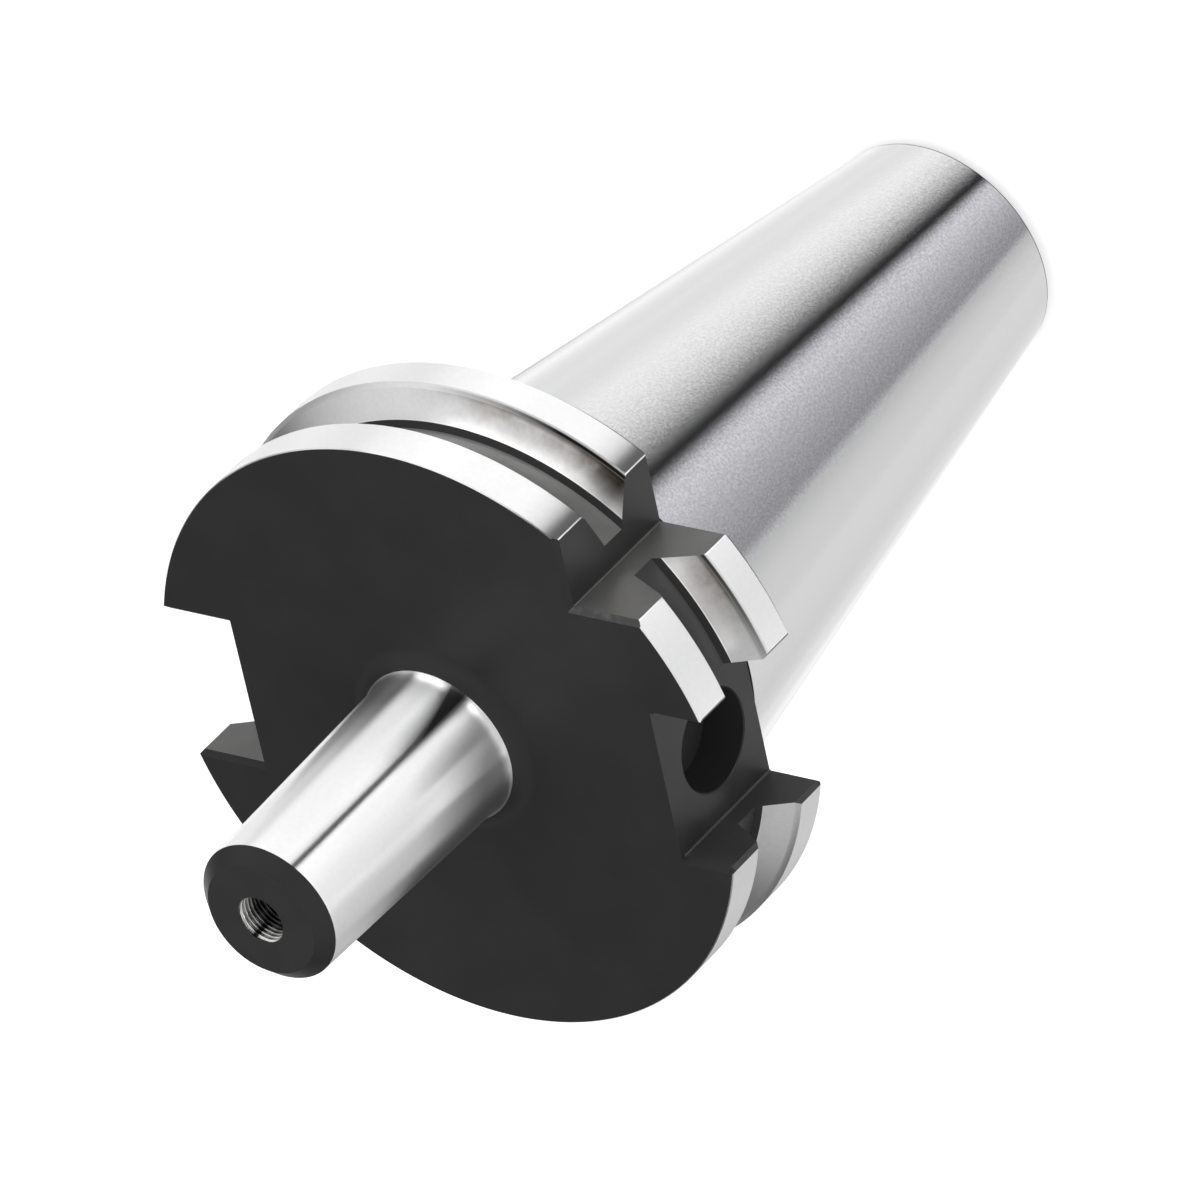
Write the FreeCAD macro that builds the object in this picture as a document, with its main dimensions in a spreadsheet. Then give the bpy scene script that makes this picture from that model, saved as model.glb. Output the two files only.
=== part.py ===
import FreeCAD, Part
import os
import Sketcher
from FreeCAD import Vector

# Drill chuck arbor for a milling spindle, turned, milled and ground from one steel bar.
# Units are millimetres. +Z runs along the axis towards the chuck cone, z = 0 is the gauge
# plane of the steep taper, and +X points to the drive slot that holds the data chip hole.

SIZES = {
    # Steep taper shank, 7 in 24 on the diameter.
    "gauge_diameter": 44.45,
    "taper_rise": 7.0,
    "taper_run": 24.0,
    "shank_length": 68.4,
    "tail_chamfer": 1.0,
    "relief_start": 0.6,
    "relief_depth": 0.4,
    "relief_fillet": 0.8,
    # Flange with the gripper groove.
    "flange_diameter": 63.55,
    "flange_rear": 3.2,
    "flange_front": 19.1,
    "rear_chamfer": 0.9,
    "groove_centre": 11.1,
    "groove_width": 7.07,
    "groove_depth": 3.65,
    "groove_angle": 60.0,
    "groove_chamfer": 0.43,
    # Two drive slots, their floors at unlike distances from the axis.
    "slot_width": 16.1,
    "chip_slot_floor": 25.0,
    "plain_slot_floor": 22.8,
    "slot_chamfer": 0.5,
    "chip_hole_diameter": 10.0,
    "chip_hole_depth": 4.6,
    # Right-angled orientation notch, both walls at the same distance from the axis.
    "notch_distance": 18.5,
    "notch_chamfer": 0.5,
    "notch_break": 0.15,
    "notch_break_slope": 0.5,
    # Short chuck cone, its taper given as the change of diameter over length.
    "cone_diameter": 15.733,
    "cone_taper": 0.04995,
    "cone_length": 24.0,
    "neck_length": 6.3,
    "neck_fillet": 2.4,
    "tip_chamfer": 1.4,
    # Pull stud hole in the shank: pilot bore, then the core of the M16 thread.
    "pilot_diameter": 17.0,
    "pilot_depth": 8.2,
    "pilot_chamfer": 1.0,
    "stud_core_diameter": 13.835,
    "stud_hole_depth": 42.5,
    # Draw screw hole in the cone: the core of the M6 thread.
    "screw_core_diameter": 4.917,
    "screw_hole_depth": 19.0,
    "drill_angle": 118.0,
    # How far each cutting shape reaches past the surface that it opens.
    "overcut": 1.0,
}

doc = FreeCAD.newDocument("drill_chuck_arbor")
sheet = doc.addObject("Spreadsheet::Sheet", "Sizes")
for row, (alias, value) in enumerate(SIZES.items(), start=1):
    sheet.set(f"A{row}", alias)
    sheet.set(f"B{row}", str(value))
    sheet.setAlias(f"B{row}", alias)
doc.recompute()

FULL_TURN = 360.0
BEVEL_TAPER = -45.0  # widens a cut towards the face it starts from
SAME_PLACE = 1e-4  # how closely an edge has to match the radius and height asked for

# Lengths that follow from the driving sizes, as expressions on the sheet.
GAUGE_RADIUS = "Sizes.gauge_diameter / 2"
TAPER_SLOPE = "(Sizes.taper_rise / Sizes.taper_run / 2)"
TAIL_RADIUS = f"({GAUGE_RADIUS} - Sizes.shank_length * {TAPER_SLOPE})"
RELIEF_RADIUS = f"({GAUGE_RADIUS} - Sizes.relief_depth)"
FLANGE_RADIUS = "Sizes.flange_diameter / 2"
CONE_SLOPE = "(Sizes.cone_taper / 2)"
TIP_HEIGHT = "(Sizes.flange_front + Sizes.neck_length + Sizes.cone_length)"
NECK_RADIUS = f"(Sizes.cone_diameter / 2 + Sizes.neck_length * {CONE_SLOPE})"
TIP_RADIUS = f"(Sizes.cone_diameter / 2 - Sizes.cone_length * {CONE_SLOPE})"
GROOVE_SLOPE = "tan(Sizes.groove_angle / 2 * 1 deg)"
DRILL_SLOPE = "tan(Sizes.drill_angle / 2 * 1 deg)"

body = doc.addObject("PartDesign::Body", "Arbor")
body.Label = "arbor"
body.Placement = FreeCAD.Placement()


def plane(role):
    """Gives one of the body's own origin planes."""
    return next(f for f in body.Origin.OriginFeatures if f.Role == role)


def new_sketch(name, role, offset=None):
    """Adds a sketch on one of the body's own planes, moved along its normal by an expression."""
    sketch = body.newObject("Sketcher::SketchObject", name)
    sketch.AttachmentSupport = [(plane(role), "")]
    sketch.MapMode = "FlatFace"
    if offset:
        sketch.setExpression("AttachmentOffset.Base.z", offset)
    return sketch


def draw_outline(sketch, corners):
    """Draws a closed outline whose corners (name, across, up) are bound to expressions."""
    doc.recompute()
    places = [[sketch.evalExpression(e) for e in corner[1:]] for corner in corners]
    points = [Vector(float(x), float(y), 0) for x, y in places]
    count = len(points)
    for i in range(count):
        sketch.addGeometry(Part.LineSegment(points[i], points[(i + 1) % count]), False)
    for i in range(count):
        sketch.addConstraint(Sketcher.Constraint("Coincident", i, 2, (i + 1) % count, 1))
    for i, (name, across, up) in enumerate(corners):
        for kind, part, value, text in (
            ("DistanceX", "across", points[i].x, across),
            ("DistanceY", "up", points[i].y, up),
        ):
            index = sketch.addConstraint(Sketcher.Constraint(kind, -1, 1, i, 1, value))
            sketch.renameConstraint(index, f"{name}_{part}")
            sketch.setExpression(f"Constraints.{name}_{part}", text)


def draw_circle(sketch, across, up, diameter):
    """Draws a circle whose centre and diameter are bound to expressions."""
    doc.recompute()
    x, y, d = (float(sketch.evalExpression(e)) for e in (across, up, diameter))
    circle = Part.Circle(Vector(x, y, 0), Vector(0, 0, 1), d / 2)
    sketch.addGeometry(circle, False)
    for name, constraint, text in (
        ("across", Sketcher.Constraint("DistanceX", -1, 1, 0, 3, x), across),
        ("up", Sketcher.Constraint("DistanceY", -1, 1, 0, 3, y), up),
        ("size", Sketcher.Constraint("Diameter", 0, d), diameter),
    ):
        sketch.renameConstraint(sketch.addConstraint(constraint), name)
        sketch.setExpression(f"Constraints.{name}", text)


def turn(name, kind, corners):
    """Turns a profile, given as radius and height, about the axis, to add or to cut."""
    sketch = new_sketch(f"{name}Profile", "XZ_Plane")
    draw_outline(sketch, corners)
    feature = body.newObject(f"PartDesign::{kind}", name)
    feature.Profile = sketch
    feature.ReferenceAxis = (sketch, ["V_Axis"])
    feature.Angle = FULL_TURN
    return feature


def cut_flange(name, corners, length, taper=0.0, from_rear=False):
    """Cuts an outline seen from the front into the flange, from its front or rear face."""
    face = "Sizes.flange_rear" if from_rear else "Sizes.flange_front"
    sketch = new_sketch(f"{name}Outline", "XY_Plane", face)
    draw_outline(sketch, corners)
    feature = body.newObject("PartDesign::Pocket", name)
    feature.Profile = sketch
    feature.Type = 0
    feature.Reversed = from_rear
    feature.TaperAngle = taper
    feature.setExpression("Length", length)


def ring_edge(radius, height):
    """Finds the circular edge of the body at this radius and height."""
    doc.recompute()
    want_r, want_z = (float(sheet.evalExpression(e)) for e in (radius, height))
    for number, edge in enumerate(body.Shape.Edges, start=1):
        ends = [v.Point for v in edge.Vertexes]
        middle = edge.valueAt((edge.FirstParameter + edge.LastParameter) / 2)
        if all(abs((p.x**2 + p.y**2) ** 0.5 - want_r) + abs(p.z - want_z) < SAME_PLACE
               for p in ends + [middle]):
            return f"Edge{number}"
    raise ValueError(f"no ring edge at radius {want_r}, height {want_z}")


def fillet_ring(name, radius, height, size):
    """Rounds the inside corner of the last feature at this radius and height."""
    edge = ring_edge(radius, height)
    base = body.Tip
    feature = body.newObject("PartDesign::Fillet", name)
    feature.Base = (base, [edge])
    feature.setExpression("Radius", size)
    return feature


# The turned blank: tail, taper, grinding relief, flange and chuck cone in one profile.
turn("Blank", "Revolution", [
    ("tail_axis", "0", "-Sizes.shank_length"),
    ("tail_edge", f"{TAIL_RADIUS} - Sizes.tail_chamfer", "-Sizes.shank_length"),
    ("tail_bevel", f"{TAIL_RADIUS} + Sizes.tail_chamfer * {TAPER_SLOPE}",
     "Sizes.tail_chamfer - Sizes.shank_length"),
    ("taper_end", f"{GAUGE_RADIUS} + Sizes.relief_start * {TAPER_SLOPE}", "Sizes.relief_start"),
    ("relief_edge", RELIEF_RADIUS, "Sizes.relief_start + Sizes.relief_depth"),
    ("relief_corner", RELIEF_RADIUS, "Sizes.flange_rear"),
    ("rear_edge", f"{FLANGE_RADIUS} - Sizes.rear_chamfer", "Sizes.flange_rear"),
    ("rear_bevel", FLANGE_RADIUS, "Sizes.flange_rear + Sizes.rear_chamfer"),
    ("front_edge", FLANGE_RADIUS, "Sizes.flange_front"),
    ("neck_corner", NECK_RADIUS, "Sizes.flange_front"),
    ("tip_bevel", f"{TIP_RADIUS} + Sizes.tip_chamfer * {CONE_SLOPE}",
     f"{TIP_HEIGHT} - Sizes.tip_chamfer"),
    ("tip_edge", f"{TIP_RADIUS} - Sizes.tip_chamfer", TIP_HEIGHT),
    ("tip_axis", "0", TIP_HEIGHT),
])
fillet_ring("NeckFillet", NECK_RADIUS, "Sizes.flange_front", "Sizes.neck_fillet")
fillet_ring("ReliefFillet", RELIEF_RADIUS, "Sizes.flange_rear", "Sizes.relief_fillet")


# The gripper groove: a 60 degree V with a flat floor and 45 degree rim bevels. Pins of 7 mm
# laid in it stand 72.30 mm apart over their outsides.
def groove_corner(name, depth, half_width, side):
    return (name, f"{FLANGE_RADIUS} - ({depth})", f"Sizes.groove_centre {side} ({half_width})")


BEVEL_HALF = f"Sizes.groove_width / 2 - Sizes.groove_chamfer * {GROOVE_SLOPE}"
MOUTH_HALF = f"{BEVEL_HALF} + Sizes.groove_chamfer + Sizes.overcut"
FLOOR_HALF = f"Sizes.groove_width / 2 - Sizes.groove_depth * {GROOVE_SLOPE}"
turn("GripperGroove", "Groove", [
    groove_corner("rear_mouth", "-Sizes.overcut", MOUTH_HALF, "-"),
    groove_corner("rear_bevel", "Sizes.groove_chamfer", BEVEL_HALF, "-"),
    groove_corner("rear_floor", "Sizes.groove_depth", FLOOR_HALF, "-"),
    groove_corner("front_floor", "Sizes.groove_depth", FLOOR_HALF, "+"),
    groove_corner("front_bevel", "Sizes.groove_chamfer", BEVEL_HALF, "+"),
    groove_corner("front_mouth", "-Sizes.overcut", MOUTH_HALF, "+"),
])

# The drive slots run through the flange. Their mouths and the edges of their walls are
# bevelled, and at the rear the chip slot's floor as well.
THROUGH = "Sizes.flange_front - Sizes.flange_rear + Sizes.overcut"
SLOT_HALF = "Sizes.slot_width / 2"
MOUTH_START = f"(sqrt(({FLANGE_RADIUS})^2 - ({SLOT_HALF})^2) - Sizes.slot_chamfer)"
OUTSIDE = f"({FLANGE_RADIUS} + Sizes.overcut)"


def bevel_slot(name, side, floor, chamfer, from_rear):
    """Bevels the edges of a drive slot at one face of the flange."""
    half, beyond = f"({SLOT_HALF} + {chamfer})", f"({OUTSIDE} + {chamfer})"
    cut_flange(name, [
        ("floor_low", f"{side}({floor})", f"-{half}"),
        ("outside_low", f"{side}{beyond}", f"-{half}"),
        ("outside_high", f"{side}{beyond}", half),
        ("floor_high", f"{side}({floor})", half),
    ], chamfer, BEVEL_TAPER, from_rear)


for name, side, floor, rear_floor in (
    ("ChipSlot", "", "Sizes.chip_slot_floor", "Sizes.chip_slot_floor - Sizes.rear_chamfer"),
    ("PlainSlot", "-", "Sizes.plain_slot_floor", "Sizes.plain_slot_floor"),
):
    flare = f"{SLOT_HALF} + {OUTSIDE} - {MOUTH_START}"
    cut_flange(name, [
        ("floor_low", f"{side}{floor}", f"-({SLOT_HALF})"),
        ("mouth_low", f"{side}{MOUTH_START}", f"-({SLOT_HALF})"),
        ("outside_low", f"{side}{OUTSIDE}", f"-({flare})"),
        ("outside_high", f"{side}{OUTSIDE}", flare),
        ("mouth_high", f"{side}{MOUTH_START}", SLOT_HALF),
        ("floor_high", f"{side}{floor}", SLOT_HALF),
    ], THROUGH)
    bevel_slot(f"{name}Bevel", side, floor, "Sizes.slot_chamfer", False)
    bevel_slot(f"{name}RearBevel", side, rear_floor, "Sizes.rear_chamfer", True)

# The orientation notch is a square corner cut into the rim half way between +X and +Y.
NOTCH = "Sizes.notch_distance"
NOTCH_REACH = f"(sqrt(({FLANGE_RADIUS})^2 - {NOTCH}^2) - Sizes.notch_break)"
NOTCH_SPREAD = "(Sizes.overcut * Sizes.notch_break_slope)"
cut_flange("OrientationNotch", [
    ("apex", NOTCH, NOTCH),
    ("right_reach", NOTCH_REACH, NOTCH),
    ("right_mouth", f"{NOTCH_REACH} + Sizes.overcut", f"{NOTCH} - {NOTCH_SPREAD}"),
    ("outside", OUTSIDE, OUTSIDE),
    ("upper_mouth", f"{NOTCH} - {NOTCH_SPREAD}", f"{NOTCH_REACH} + Sizes.overcut"),
    ("upper_reach", NOTCH, NOTCH_REACH),
], THROUGH)
for name, chamfer, from_rear in (("OrientationNotchBevel", "Sizes.notch_chamfer", False),
                                 ("OrientationNotchRearBevel", "Sizes.rear_chamfer", True)):
    wall, beyond = f"({NOTCH} - {chamfer})", f"({OUTSIDE} + {chamfer})"
    cut_flange(name, [
        ("apex", wall, wall),
        ("right", beyond, wall),
        ("outside", beyond, beyond),
        ("upper", wall, beyond),
    ], chamfer, BEVEL_TAPER, from_rear)

# The data chip hole is sunk into the floor of the +X slot, on the groove's centre plane.
chip_outline = new_sketch("ChipHoleOutline", "YZ_Plane", "Sizes.chip_slot_floor")
draw_circle(chip_outline, "0", "Sizes.groove_centre", "Sizes.chip_hole_diameter")
chip_hole = body.newObject("PartDesign::Pocket", "ChipHole")
chip_hole.Profile = chip_outline
chip_hole.Type = 0
chip_hole.setExpression("Length", "Sizes.chip_hole_depth")

# Both blind holes on the axis are drilled, with the drill's cone left at the bottom.
PILOT_RADIUS = "Sizes.pilot_diameter / 2"
STUD_RADIUS = "Sizes.stud_core_diameter / 2"
turn("StudHole", "Groove", [
    ("mouth_axis", "0", "-Sizes.shank_length - Sizes.overcut"),
    ("mouth", f"{PILOT_RADIUS} + Sizes.pilot_chamfer + Sizes.overcut",
     "-Sizes.shank_length - Sizes.overcut"),
    ("mouth_bevel", PILOT_RADIUS, "Sizes.pilot_chamfer - Sizes.shank_length"),
    ("pilot_end", PILOT_RADIUS, "Sizes.pilot_depth - Sizes.shank_length"),
    ("core_start", STUD_RADIUS, "Sizes.pilot_depth - Sizes.shank_length"),
    ("core_end", STUD_RADIUS, "Sizes.stud_hole_depth - Sizes.shank_length"),
    ("drill_point", "0",
     f"Sizes.stud_hole_depth - Sizes.shank_length + {STUD_RADIUS} / {DRILL_SLOPE}"),
])
SCREW_RADIUS = "Sizes.screw_core_diameter / 2"
turn("ScrewHole", "Groove", [
    ("mouth_axis", "0", f"{TIP_HEIGHT} + Sizes.overcut"),
    ("mouth", SCREW_RADIUS, f"{TIP_HEIGHT} + Sizes.overcut"),
    ("core_end", SCREW_RADIUS, f"{TIP_HEIGHT} - Sizes.screw_hole_depth"),
    ("drill_point", "0",
     f"{TIP_HEIGHT} - Sizes.screw_hole_depth - {SCREW_RADIUS} / {DRILL_SLOPE}"),
])
doc.recompute()

# Nothing is written unless every object is sound and every cut has taken material away.
for item in doc.Objects:
    if "Invalid" in item.State or "Error" in item.State:
        raise RuntimeError(f"{item.Name} failed: {item.State}")
for item in body.Group:
    if item.TypeId in ("PartDesign::Pocket", "PartDesign::Groove"):
        taken = item.BaseFeature.Shape.Volume - item.Shape.Volume
        print(f"{item.Name} takes {taken:.2f} mm3")
        if taken <= 0:
            raise RuntimeError(f"{item.Name} cuts nothing")
shape = body.Shape
if shape.isNull() or not shape.isValid() or len(shape.Solids) != 1:
    raise RuntimeError("the arbor is not one valid solid")
os.makedirs("parts", exist_ok=True)
shape.exportStep(f"parts/{body.Label}.step")
print(f"{body.Label}: volume {shape.Volume:.1f} mm3, height {shape.BoundBox.ZLength:.2f} mm")
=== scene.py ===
import math

import bmesh
import bpy
import numpy as np
from mathutils import Matrix
from mathutils.geometry import tessellate_polygon


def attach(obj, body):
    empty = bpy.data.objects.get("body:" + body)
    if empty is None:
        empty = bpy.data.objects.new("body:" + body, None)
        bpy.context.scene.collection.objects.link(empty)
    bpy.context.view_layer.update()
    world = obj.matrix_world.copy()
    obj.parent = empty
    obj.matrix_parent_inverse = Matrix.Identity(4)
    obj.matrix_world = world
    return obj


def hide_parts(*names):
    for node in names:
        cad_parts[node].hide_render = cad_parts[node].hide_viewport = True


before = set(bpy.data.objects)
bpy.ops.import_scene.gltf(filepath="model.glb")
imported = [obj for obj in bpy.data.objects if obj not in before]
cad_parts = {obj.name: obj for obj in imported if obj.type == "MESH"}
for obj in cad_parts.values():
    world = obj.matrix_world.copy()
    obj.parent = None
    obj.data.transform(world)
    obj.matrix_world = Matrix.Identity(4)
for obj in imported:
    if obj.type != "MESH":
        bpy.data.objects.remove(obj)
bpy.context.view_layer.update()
millimetre = 0.001  # the sizes below are in millimetres
print("frame loaded:", sorted(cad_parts))


# shader maths: a wrapped socket adds Math nodes when it is used in an expression
class Wire:
    def __init__(self, tree, socket):
        self.tree, self.socket = tree, socket

    def maths(self, operation, *others, clamp=False):
        node = self.tree.nodes.new("ShaderNodeMath")
        node.operation, node.use_clamp = operation, clamp
        for place, value in zip(node.inputs, (self, *others)):
            connect(self.tree, place, value)
        return Wire(self.tree, node.outputs[0])

    def __add__(self, other):
        return self.maths("ADD", other)

    def __mul__(self, other):
        return self.maths("MULTIPLY", other)

    def __sub__(self, other):
        return self.maths("SUBTRACT", other)

    def __truediv__(self, other):
        return self.maths("DIVIDE", other)

    def __rsub__(self, other):
        return self * -1 + other

    __radd__, __rmul__ = __add__, __mul__


def connect(tree, place, value):
    if isinstance(value, Wire):
        tree.links.new(value.socket, place)
    else:
        place.default_value = value


class Graph:
    # a node tree that is emptied first; add() makes any node but a Math node, from its type,
    # its settings and its sockets, which are named or numbered
    def __init__(self, tree):
        self.tree = tree
        tree.nodes.clear()

    def add(self, kind, settings, sockets, output=0):
        node = self.tree.nodes.new(kind)
        for key, value in settings.items():
            if key == "stops":
                self.setStops(node.color_ramp, value)
            else:
                setattr(node, key, value)
        for key, value in sockets.items():
            connect(self.tree, node.inputs[key], value)
        return Wire(self.tree, node.outputs[output]) if len(node.outputs) else None

    def setStops(self, ramp, stops):
        while len(ramp.elements) < len(stops):
            ramp.elements.new(1.0)
        for element, (position, level) in zip(ramp.elements, stops):
            element.position = position
            element.color = (level, level, level, 1)


# surfaces, each worked out as one array of points in millimetres
def along(start, end, count):
    # start + (end - start) * t with t from 0 to 1, the end left out, for every level at once
    t = np.linspace(0, 1, count, endpoint=False)[None, :, None]
    return start[:, None] * (1 - t) + end[:, None] * t


def around(centre, radius, turnFrom, turnTo, count):
    # centre + radius * (cos a, sin a) with a from turnFrom to turnTo, the end left out
    t = np.linspace(0, 1, count, endpoint=False)[None]
    a = turnFrom[:, None] * (1 - t) + turnTo[:, None] * t
    return centre[:, None] + radius[:, None, None] * np.stack([np.cos(a), np.sin(a)], 2)


def pairs(x, y):
    # the points (x, y), one for each level
    return np.stack(np.broadcast_arrays(x, y), 1)


def rimPoint(x, y, slope, rim):
    # where the line (x + t, y + slope * t) from inside meets the circle of radius rim
    a, b, c = 1 + slope**2, x + slope * y, x**2 + y**2 - rim**2
    t = (np.sqrt(np.maximum(b * b - a * c, 0)) - b) / a
    return pairs(x + t, y + slope * t)


def slotHalf(floor, half, corner, mouth, mouthSlope, rim, counts):
    # from the middle of a slot's floor over its rounded corner and its wall to the rim
    wallEnd = np.minimum(mouth, np.sqrt(rim**2 - half**2))
    same = np.ones_like(rim)
    return np.concatenate([
        along(pairs(floor, 0 * rim), pairs(floor, half - corner), counts[0]),
        around(pairs(floor + corner, half - corner), corner * same, math.pi * same,
               math.pi / 2 * same, counts[1]),
        along(pairs(floor + corner, half), pairs(wallEnd, half), counts[2]),
        along(pairs(wallEnd, half), rimPoint(wallEnd, half, mouthSlope, rim), counts[3]),
        rimPoint(wallEnd, half, mouthSlope, rim)[:, None],
    ], 1)


def notchHalf(wall, corner, breakStart, breakSlope, rim, counts):
    # from the notch's apex along its lower wall and its small break to the rim
    wallEnd = np.minimum(breakStart, np.sqrt(rim**2 - wall**2))
    same = np.ones_like(rim)
    return np.concatenate([
        around(pairs(wall + corner, wall + corner), corner * same, math.pi * 1.25 * same,
               math.pi * 1.5 * same, counts[0]),
        along(pairs(wall + corner, wall), pairs(wallEnd, wall), counts[1]),
        along(pairs(wallEnd, wall), rimPoint(wallEnd, wall, -breakSlope, rim), counts[2]),
        rimPoint(wallEnd, wall, -breakSlope, rim)[:, None],
    ], 1)


def rimArc(start, end, rim, count):
    # along the circle of radius rim from the start's angle to the end's
    turnFrom = np.arctan2(start[:, 1], start[:, 0]) % math.tau
    turnTo = np.arctan2(end[:, 1], end[:, 0]) % math.tau
    return around(np.zeros((len(rim), 2)), rim, turnFrom, turnTo, count)


def turned(profile, count):
    # the profile's (radius, height) points carried round the axis
    a = np.arange(count) * math.tau / count
    r, z = np.asarray(profile, float).T[:, :, None]
    return np.stack([r * np.cos(a), r * np.sin(a), z + 0 * a], 2)


def threadSurface(values):
    # radius = crest + depth * (1 - w) * fades, where w rises from 0 on the root's flat to 1 on
    # the crest's as the height runs through half a pitch, one pitch further for each turn
    span = values["top"] - values["bottom"]
    rows = int(round(span / values["pitch"] * values["rowsPerTurn"]))
    z = np.linspace(values["top"], values["bottom"], rows + 1)[:, None]
    a = (np.arange(values["steps"]) * math.tau / values["steps"])[None]
    fromRoot = np.abs((z / values["pitch"] - a / math.tau) % 1 - 0.5) * 2
    w = np.clip((fromRoot - values["rootFlat"]) / values["flank"], 0, 1)
    depth = values["root"] - values["crest"]
    fadeTop = np.clip((values["top"] - z) / values["leadIn"], 0, 1)
    fadeBottom = np.clip((z - values["bottom"]) / values["pitch"], 0, 1)
    r = values["crest"] + depth * (1 - w) * fadeTop * fadeBottom
    return np.stack([r * np.cos(a), r * np.sin(a), z + 0 * a], 2)


# patches: points, faces, and each face's finish and shading
def gridPatch(points, finish, keep=None):
    # rings of points, one above the other, joined by faces; keep says which of them stay
    rows, columns = points.shape[:2]
    lower = np.arange(rows - 1)[:, None] * columns
    left = np.arange(columns)[None]
    right = (left + 1) % columns
    faces = np.stack(np.broadcast_arrays(
        lower + left, lower + right, lower + columns + right, lower + columns + left), 2)
    finish = np.broadcast_to(np.asarray(finish), faces.shape[:2])
    kept = np.ones(faces.shape[:2], bool) if keep is None else keep
    return {"points": points.reshape(-1, 3), "faces": faces[kept].tolist(),
            "finish": finish[kept], "smooth": True}


def flatPatch(loops, plane, finish):
    # a flat face between closed loops of points, filled with triangles; plane names the two
    # coordinates that it lies in
    flat = [[(*point[plane].tolist(), 0.0) for point in loop] for loop in loops]
    triangles = tessellate_polygon(flat)
    return {"points": np.concatenate(loops), "faces": [list(t) for t in triangles],
            "finish": np.full(len(triangles), finish), "smooth": False}


meshing = {"weld": 0.0008, "sliver": 0.0001}  # vertices closer than this become one


def onePiece(name, patches, materials, sharpAngle):
    # all the patches in one closed mesh, with its faces turned outwards
    points, faces, finish, smooth = [], [], [], []
    for patch in patches:
        offset = sum(len(p) for p in points)
        points.append(patch["points"])
        faces += [[i + offset for i in face] for face in patch["faces"]]
        finish.append(patch["finish"])
        smooth.append(np.full(len(patch["faces"]), patch["smooth"]))
    mesh = bpy.data.meshes.new(name)
    mesh.from_pydata(np.concatenate(points) * millimetre, [], faces)
    mesh.polygons.foreach_set("material_index", np.concatenate(finish).astype(np.int32))
    mesh.polygons.foreach_set("use_smooth", np.concatenate(smooth))
    work = bmesh.new()
    work.from_mesh(mesh)
    bmesh.ops.remove_doubles(work, verts=work.verts, dist=meshing["weld"] * millimetre)
    bmesh.ops.dissolve_degenerate(work, edges=work.edges, dist=meshing["sliver"] * millimetre)
    bmesh.ops.recalc_face_normals(work, faces=work.faces)
    print(name, len(work.faces), "faces, open edges:",
          sum(not edge.is_manifold for edge in work.edges))
    work.to_mesh(mesh)
    work.free()
    mesh.set_sharp_from_angle(angle=math.radians(sharpAngle))
    markFlatBorders(mesh)
    piece = bpy.data.objects.new(name, mesh)
    bpy.context.scene.collection.objects.link(piece)
    for material in materials:
        mesh.materials.append(material)
    steady = piece.modifiers.new("evenNormals", "WEIGHTED_NORMAL")
    steady.keep_sharp = True
    return piece


def markFlatBorders(mesh):
    # an edge is sharp where a flat face meets a smooth one
    smooth = np.zeros(len(mesh.polygons), bool)
    mesh.polygons.foreach_get("use_smooth", smooth)
    edges = np.zeros(len(mesh.loops), np.int32)
    mesh.loops.foreach_get("edge_index", edges)
    sides = np.zeros(len(mesh.polygons), np.int32)
    mesh.polygons.foreach_get("loop_total", sides)
    touches = np.repeat(smooth, sides)
    sharp = np.zeros(len(mesh.edges), bool)
    mesh.edges.foreach_get("use_edge_sharp", sharp)
    count = np.bincount(edges, touches, len(mesh.edges))
    mesh.edges.foreach_set("use_edge_sharp", sharp | (count == 1))


# finishes: "grain" and "patch" are the sizes of noises in millimetres, "varies" is how far the
# roughness goes up and down, and lists "byTurn" hold levels at angles about the axis
steels = {
    "taperSteel": {
        "color": (0.985, 0.985, 0.99), "roughness": 0.16, "varies": 0.03, "anisotropic": 1.0,
        "grain": 0.25, "grainDepth": 0.0015, "speckle": 0.45, "streak": 0.02,
        # the taper's speckle grows over a band of angles: grinding grain, with a painted grainy
        # reflection in that band
        "speckleByTurn": [(20, 0.07), (25, 0.6), (34, 0.65), (42, 0.68), (57, 0.8), (65, 0.8),
                          (76, 0.3), (86, 0.07)],
    },
    "coneSteel": {
        "color": (0.9, 0.9, 0.9), "roughness": 0.29, "varies": 0.03, "anisotropic": 1.0,
        "grain": 0.5, "speckle": 0.04, "streak": 0.06,
    },
    "rimSteel": {
        "color": (0.91, 0.91, 0.91), "roughness": 0.285, "varies": 0.01, "anisotropic": 1.0,
        "grain": 0.4, "speckle": 0.04, "streak": 0.03,
    },
    "flankSteel": {
        "color": (0.84, 0.84, 0.845), "roughness": 0.3, "varies": 0.03, "anisotropic": 0.4,
        "grain": 0.4, "grainDepth": 0.0006, "speckle": 0.06, "streak": 0.04,
    },
    "bevelSteel": {
        "color": (0.9, 0.9, 0.9), "roughness": 0.42, "varies": 0.03, "anisotropic": 0.0,
        "grain": 0.4, "speckle": 0.05, "streak": 0.03,
    },
    "neckSteel": {
        "color": (0.92, 0.92, 0.915), "roughness": 0.38, "varies": 0.03, "anisotropic": 1.0,
        "grain": 0.4, "speckle": 0.05, "streak": 0.02,
    },
    "screwSteel": {
        "color": (0.97, 0.97, 0.95), "roughness": 0.3, "varies": 0.03, "anisotropic": 0.0,
        "grain": 0.2, "speckle": 0.1, "streak": 0.05,
    },
    "threadSteel": {
        "color": (0.4, 0.4, 0.39), "roughness": 0.3, "varies": 0.03, "anisotropic": 0.0,
        "grain": 0.2, "speckle": 0.2, "streak": 0.1,
    },
}
grinding = {  # what all the steels share: rings of fine marks and a speckle
    "stretch": (0.12, 0.12, 4.0), "streakColor": (0.6, 0.6, 0.6),
    "speckleFrom": 0.3, "speckleTo": 0.7, "speckleColor": (0.3, 0.3, 0.3),
    "grainDetail": 1.0, "streakDetail": 3.0,
    "brushedRound": 0.25,  # of a turn, so that the marks run round the axis
}
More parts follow.
